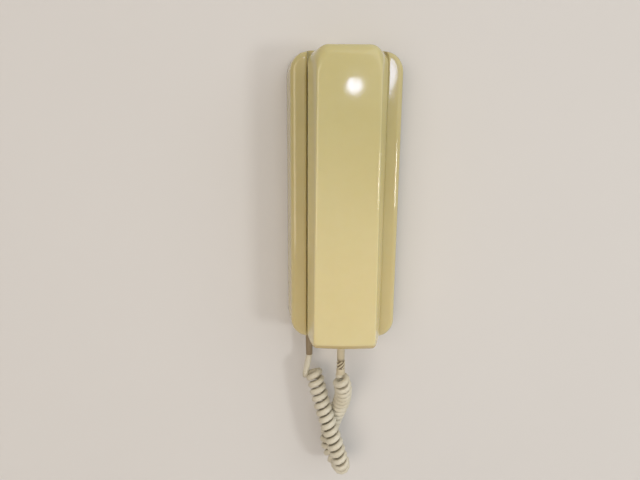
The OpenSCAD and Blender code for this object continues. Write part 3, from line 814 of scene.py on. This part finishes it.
def carried_frames(points, first):
    """Two directions across the line at each point, carried along without twist"""
    frames = []
    side = Vector(first)
    for k in range(len(points)):
        ahead = (points[min(k + 1, len(points) - 1)] - points[max(k - 1, 0)]).normalized()
        side = (side - ahead * side.dot(ahead)).normalized()
        frames.append((ahead, side.copy(), ahead.cross(side)))
    return frames


def sweep(name, points, ways, radius, sides=10):
    """A closed tube along points; marks how far each side faces the next turn, whose way is in ways"""
    verts, toward = [], []
    for p, way, (_, u, v) in zip(points, ways, carried_frames(points, TUBE_START)):
        for k in range(sides):
            a = 2 * math.pi * k / sides
            out = math.cos(a) * u + math.sin(a) * v
            verts.append(p + radius * out)
            toward.append(abs(out.dot(way)))
    piece = from_lists(name, verts, capped(len(points), sides))
    mark = piece.data.attributes.new("toward_turn", "FLOAT", "POINT")
    mark.data.foreach_set("value", toward)
    outward(piece)
    piece.data.shade_smooth()
    return piece


def cord_line(s):
    """Centre line of the curls, the way to the next turn at each point, and the loop's foot"""
    axis, step = smooth_route(COIL_ROUTE)
    frames = carried_frames(axis, (1, 0, 0))
    radius = 0.5 * (s.curl - s.wire)
    total = len(axis) - 1
    low = min(range(len(axis)), key=lambda k: axis[k].z)
    wound, ways = [], []
    # the first half turn lies flat behind the axis
    for k in range(HALF_TURN):
        share = k / HALF_TURN
        turn = math.pi * (1 + share)
        _, u, v = frames[0]
        away = radius * (1 + START_WIDER * (1 - share) ** 2 - HALF_DRAWN * math.sin(math.pi * share))
        wound.append(axis[0] + away * (math.cos(turn) * u + math.sin(turn) * v))
        ways.append(Vector((0, 0, 0)))
    turn = 0.0
    foot = 0
    for k, p in enumerate(axis):
        _, u, v = frames[k]
        left = total - k
        away = radius * (math.sin(math.pi / 2 * left / RUN_IN) if left < RUN_IN else 1.0)
        if k == low:
            foot = len(wound)
        wound.append(p + away * (math.cos(turn) * u + math.sin(turn) * v))
        # the outer sides of the first and the last turn have no neighbour and get no painted shade
        ways.append(frames[k][0] * max(0.0, min(1.0, k / TURN_SHADE_IN, (left - TURN_SHADE_CLEAR) / TURN_SHADE_OUT)))
        turn += 2 * math.pi * step / s.pitch
    return wound, ways, foot


class DOORPHONE_OT_cord(bpy.types.Operator):
    """Curly cord: a plain lead from the base, the looped curls and the run into the handset's boot"""
    bl_idname = "doorphone.cord"
    bl_label = "Cord"

    def execute(self, context):
        s = context.scene.doorphone_cord
        wound, ways, low = cord_line(s)
        lead, _ = smooth_route(LEAD_ROUTE + [wound[0] / MM], 0.0012)
        first = lead + wound[1:low + 1]
        second = wound[low:]
        still = Vector((0, 0, 0))
        # the cord's vinyl carries painted shade between the turns
        mat = vinyl("cord_vinyl", context.scene.doorphone_finish.cord, turns=True)

        near = sweep("cord_base_side", first, [still] * len(lead) + ways[1:low + 1], s.wire / 2)
        far = sweep("cord_handset_side", second, ways[low:], s.wire / 2)
        for piece in (near, far):
            dress(piece, mat)
        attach(near, "base")
        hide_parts("cord_base_lead")
        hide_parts("cord_coil")
        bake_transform(far)
        return {"FINISHED"}


# ---------------------------------------------------------------- small parts

# head radius, shank radius and head thickness
SCREW_SIZES = {
    "base_screws": (0.0027, 0.00145, 0.0018), "plate_screws": (0.0027, 0.00145, 0.0018),
    "board_screws": (0.0022, 0.0008, 0.0014), "handset_screws": (0.0027, 0.00145, 0.0018),
}
# how much thinner the shank is between its threads
SHANK_CUT = 0.00016


class DOORPHONE_OT_fittings(bpy.types.Operator):
    """Finishes of the board, chime, lever, screws and the other inner parts"""
    bl_idname = "doorphone.fittings"
    bl_label = "Fittings"

    def execute(self, context):
        steel = metal("plated_steel", (0.60, 0.60, 0.57), 0.34)
        plate = metal("plate_steel", (0.58, 0.58, 0.56), 0.4, (1.0, 1.0, 0.05))
        rubber = matt_plastic("dark_rubber", (0.03, 0.03, 0.03), 0.7)
        black = matt_plastic("component_black", (0.025, 0.025, 0.03), 0.42)
        finishes = {
            "wall_plate": plate, "chime_frame": steel, "chime_magnet": steel,
            "hook_lever_pin": steel, "hook_spring": steel,
            "rest_pads": rubber, "earpiece_gasket": rubber, "microphone_grommet": rubber,
            "board_components": black, "hook_switch": black,
            "chime_cone": matt_plastic("cone_paper", (0.05, 0.05, 0.05), 0.85, 900.0),
            "base_rear": matt_plastic("rear_plastic", (0.55, 0.50, 0.36), 0.5),
            "hook_lever": matt_plastic("lever_plastic", (0.55, 0.50, 0.36), 0.35),
            "base_board": matt_plastic("board_laminate", (0.30, 0.20, 0.08), 0.45),
            "terminal_block": matt_plastic("terminal_white", (0.70, 0.69, 0.64), 0.45),
            "terminal_screws": metal("terminal_brass", (0.72, 0.55, 0.24), 0.3),
            "earpiece_capsule": metal("capsule_metal", (0.55, 0.55, 0.56), 0.35),
            "microphone_capsule": metal("microphone_metal", (0.55, 0.55, 0.56), 0.35),
            "handset_weight": metal("weight_steel", (0.20, 0.20, 0.20), 0.55),
        }
        for name, mat in finishes.items():
            dress(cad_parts[name], mat)
        # painted shadow: the base's boot lies behind the handset's lower end in its shadow and is coloured
        # dark brown
        dress(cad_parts["base_cord_boot"], vinyl("base_boot_painted_shadow", (0.27, 0.21, 0.13)))
        return {"FINISHED"}


class DOORPHONE_OT_screws(bpy.types.Operator):
    """Cross-head screws of the base, the wall plate, the board and the handset"""
    bl_idname = "doorphone.screws"
    bl_label = "Screws"

    def execute(self, context):
        steel = bpy.data.materials["plated_steel"]
        group = screw_nodes()
        for source, facing in (("base_screws", 1), ("plate_screws", -1), ("board_screws", -1),
                               ("handset_screws", 1)):
            head, shank, thick = SCREW_SIZES[source]
            points = []
            for low, high in islands(source):
                top = high.y - thick if facing > 0 else low.y + thick
                points.append((0.5 * (low.x + high.x), top, 0.5 * (low.z + high.z)))
            length = high.y - low.y - thick
            piece = grown(source + "_detail", group, {
                "Head": (head, head, thick), "Shank": (shank - SHANK_CUT, shank - SHANK_CUT, length),
                "Axis": (0.0, float(facing), 0.0), "Threads": 9.0, "Thread": 0.00018,
                "Material": steel}, points)
            piece.data.set_sharp_from_angle(angle=math.radians(35))
            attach(piece, "handset" if source == "handset_screws" else "base")
            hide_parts(source)
        return {"FINISHED"}


class DOORPHONE_OT_handset_boot(bpy.types.Operator):
    """Boot at the handset's lower end: a tapered sleeve with slanting ribs over a collar"""
    bl_idname = "doorphone.handset_boot"
    bl_label = "Handset boot"

    def execute(self, context):
        low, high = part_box("handset_cord_boot")
        middle = (0.5 * (low[0] + high[0]), 0.5 * (low[1] + high[1]))
        z = low[2]
        profile = [(0.0027, z), (0.0031, z + 0.0002), (0.0033, z + 0.0008), (0.0033, z + 0.0038),
                   (0.0031, z + 0.0046), (0.0027, z + 0.0050), (0.0026, z + 0.0052), (0.0026, z + 0.0116),
                   (0.00272, z + 0.0122), (0.0029, z + 0.0140), (0.00295, z + 0.0280), (0.0023, z + 0.0282),
                   (0.0023, high[2] - 0.0021), (0.0036, high[2] - 0.0020), (0.0036, high[2])]
        sleeve = revolved("handset_boot", profile, middle)
        outward(sleeve)
        # the boot's vinyl carries painted shade in the sleeve's grooves
        mat = vinyl("boot_vinyl", (0.56, 0.50, 0.36), (middle[0], middle[1], 0.00262))
        dress(sleeve, mat)
        ribs = grown("boot_ribs", rib_nodes(), {
            "Radius": 0.0027, "Height": 0.0062, "Turns": 0.42, "Starts": 5, "Rib": 0.0006,
            "Place": (middle[0], middle[1], z + 0.0054), "Material": mat})
        piece = joined([sleeve, ribs])
        piece.data.shade_smooth()
        piece.data.set_sharp_from_angle(angle=math.radians(40))
        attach(piece, "handset")
        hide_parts("handset_cord_boot")
        return {"FINISHED"}


# ---------------------------------------------------------------- stage

# place of the backdrop, and half width, half height and corner radius of its opening
BACKDROP_Y = 0.0006
OPENING = (0.024, 0.090, 0.014)
# how many times wider and higher than the opening the wall is; the floor's reach and height
WALL_GROWTH = (220, 66)
ROOM, FLOOR_Z = 9, -1.6
CAMERA_PLACE = (-0.0178, -0.379, 0.04785)
CAMERA_DOWN, CAMERA_ROLL, CAMERA_LENS = 12.2, 0.4, 27.0


def area_light(name, place, aim, size, power, colour=(1, 1, 1), shape="SQUARE"):
    """A soft lamp at a place, turned to its aim"""
    light = bpy.data.lights.new(name, "AREA")
    light.shape = shape
    light.size, light.size_y = size
    light.energy = power
    light.color = colour
    made = bpy.data.objects.new(name, light)
    bpy.context.scene.collection.objects.link(made)
    made.location = place
    made.rotation_euler = (Vector(aim) - Vector(place)).to_track_quat("-Z", "Y").to_euler()


def build_room(paint):
    """Wall and floor; the wall is open behind the base, so the base's back gets light"""
    ring = []
    across, up, radius = OPENING
    for k, (x, z) in enumerate(((1, 1), (-1, 1), (-1, -1), (1, -1))):
        ring += arc(x * across, z * up, radius, radius, k * math.pi / 2, 8)
    wide, high = WALL_GROWTH
    points = [(x, BACKDROP_Y, z) for x, z in ring]
    points += [(x * wide, BACKDROP_Y, z * high) for x, z in ring]
    count = len(ring)
    wall = from_lists("stage_wall", points, [((k + 1) % count, k, k + count, (k + 1) % count + count)
                                             for k in range(count)], smooth=False)
    if wall.data.polygons[0].normal.y > 0:
        wall.data.flip_normals()
    corners = ((-ROOM, -ROOM), (ROOM, -ROOM), (ROOM, BACKDROP_Y), (-ROOM, BACKDROP_Y))
    floor = from_lists("stage_floor", [(x, y, FLOOR_Z) for x, y in corners], [(0, 1, 2, 3)], smooth=False)
    for piece in (wall, floor):
        dress(piece, paint)


def build_lamps():
    """A soft key from the upper right, a warm fill, and two lamps that the glossy plastic mirrors"""
    area_light("key", (1.35, -1.7, 1.35), (0, 0, -0.05), (2.6, 2.6), 14.3)
    area_light("fill", (-0.85, -2.1, 0.1), (0, 0, -0.05), (1.35, 1.35), 17.5, (1.0, 0.85, 0.72))
    area_light("spot_lamp", (0.132, -1.66, 0.37), (0, 0, 0.08), (0.124, 0.124), 0.62,
               (0.80, 0.86, 1.2), "DISK")
    area_light("side_window", (1.1, -1.3, -0.11), (0, 0, 0), (0.22, 0.25), 5.0, shape="RECTANGLE")


def build_world():
    """Room light: dim and warm from below, dim from the left and bright from the right"""
    world = bpy.data.worlds.new("studio")
    world.use_nodes = True
    tree = world.node_tree
    ahead = node(tree, "ShaderNodeTexCoord").outputs["Generated"]
    split = node(tree, "ShaderNodeSeparateXYZ", {0: ahead})
    rise = ramp(tree, split.outputs["Z"], -0.5, 0.35)
    aside = ramp(tree, split.outputs["X"], -0.9, 0.4)
    level = mix_colour(tree, aside, (0.55, 0.51, 0.46, 1), (1.38, 1.38, 1.38, 1))
    feed(tree, tree.nodes["Background"], {
        "Color": mix_colour(tree, rise, (0.20, 0.18, 0.16, 1), level), "Strength": 0.57})
    return world


def build_camera():
    """The camera, a little above the handset's middle and tilted down"""
    lens = bpy.data.cameras.new("view")
    lens.sensor_width = 36
    lens.lens = CAMERA_LENS
    lens.clip_start = 0.01
    camera = bpy.data.objects.new("view", lens)
    bpy.context.scene.collection.objects.link(camera)
    tilt = Matrix.Rotation(math.radians(90 - CAMERA_DOWN), 4, "X")
    roll = Matrix.Rotation(math.radians(CAMERA_ROLL), 4, "Z")
    camera.matrix_world = Matrix.Translation(CAMERA_PLACE) @ tilt @ roll
    return camera


class DOORPHONE_OT_stage(bpy.types.Operator):
    """Wall, floor, lamps and camera"""
    bl_idname = "doorphone.stage"
    bl_label = "Stage"

    def execute(self, context):
        build_room(wall_paint("pale_wall", context.scene.doorphone_finish.wall))
        build_lamps()
        context.scene.world = build_world()
        context.scene.camera = build_camera()
        context.scene.view_settings.view_transform = "Standard"
        return {"FINISHED"}


class DOORPHONE_PT_panel(bpy.types.Panel):
    """Lists the pieces in building order"""
    bl_label = "Door Phone"
    bl_idname = "DOORPHONE_PT_panel"
    bl_space_type = "VIEW_3D"
    bl_region_type = "UI"
    bl_category = "Door Phone"

    def draw(self, context):
        for group in (context.scene.doorphone_handset, context.scene.doorphone_cord,
                      context.scene.doorphone_finish):
            box = self.layout.box()
            for key in group.__annotations__:
                box.prop(group, key)
        for step in STEPS:
            self.layout.operator("doorphone." + step)


STEPS = ("handset_front", "handset_rear", "base_cover", "cord", "fittings", "screws", "handset_boot", "stage")
CLASSES = (
    HandsetSettings, CordSettings, FinishSettings, DOORPHONE_OT_handset_front, DOORPHONE_OT_handset_rear,
    DOORPHONE_OT_base_cover, DOORPHONE_OT_cord, DOORPHONE_OT_fittings, DOORPHONE_OT_screws,
    DOORPHONE_OT_handset_boot, DOORPHONE_OT_stage, DOORPHONE_PT_panel,
)


def register():
    for cls in CLASSES:
        bpy.utils.register_class(cls)
    bpy.types.Scene.doorphone_handset = PointerProperty(type=HandsetSettings)
    bpy.types.Scene.doorphone_cord = PointerProperty(type=CordSettings)
    bpy.types.Scene.doorphone_finish = PointerProperty(type=FinishSettings)


def unregister():
    for name in ("doorphone_finish", "doorphone_cord", "doorphone_handset"):
        delattr(bpy.types.Scene, name)
    for cls in reversed(CLASSES):
        bpy.utils.unregister_class(cls)


def main():
    register()
    for step in STEPS:
        getattr(bpy.ops.doorphone, step)()


if __name__ == "__main__":
    main()
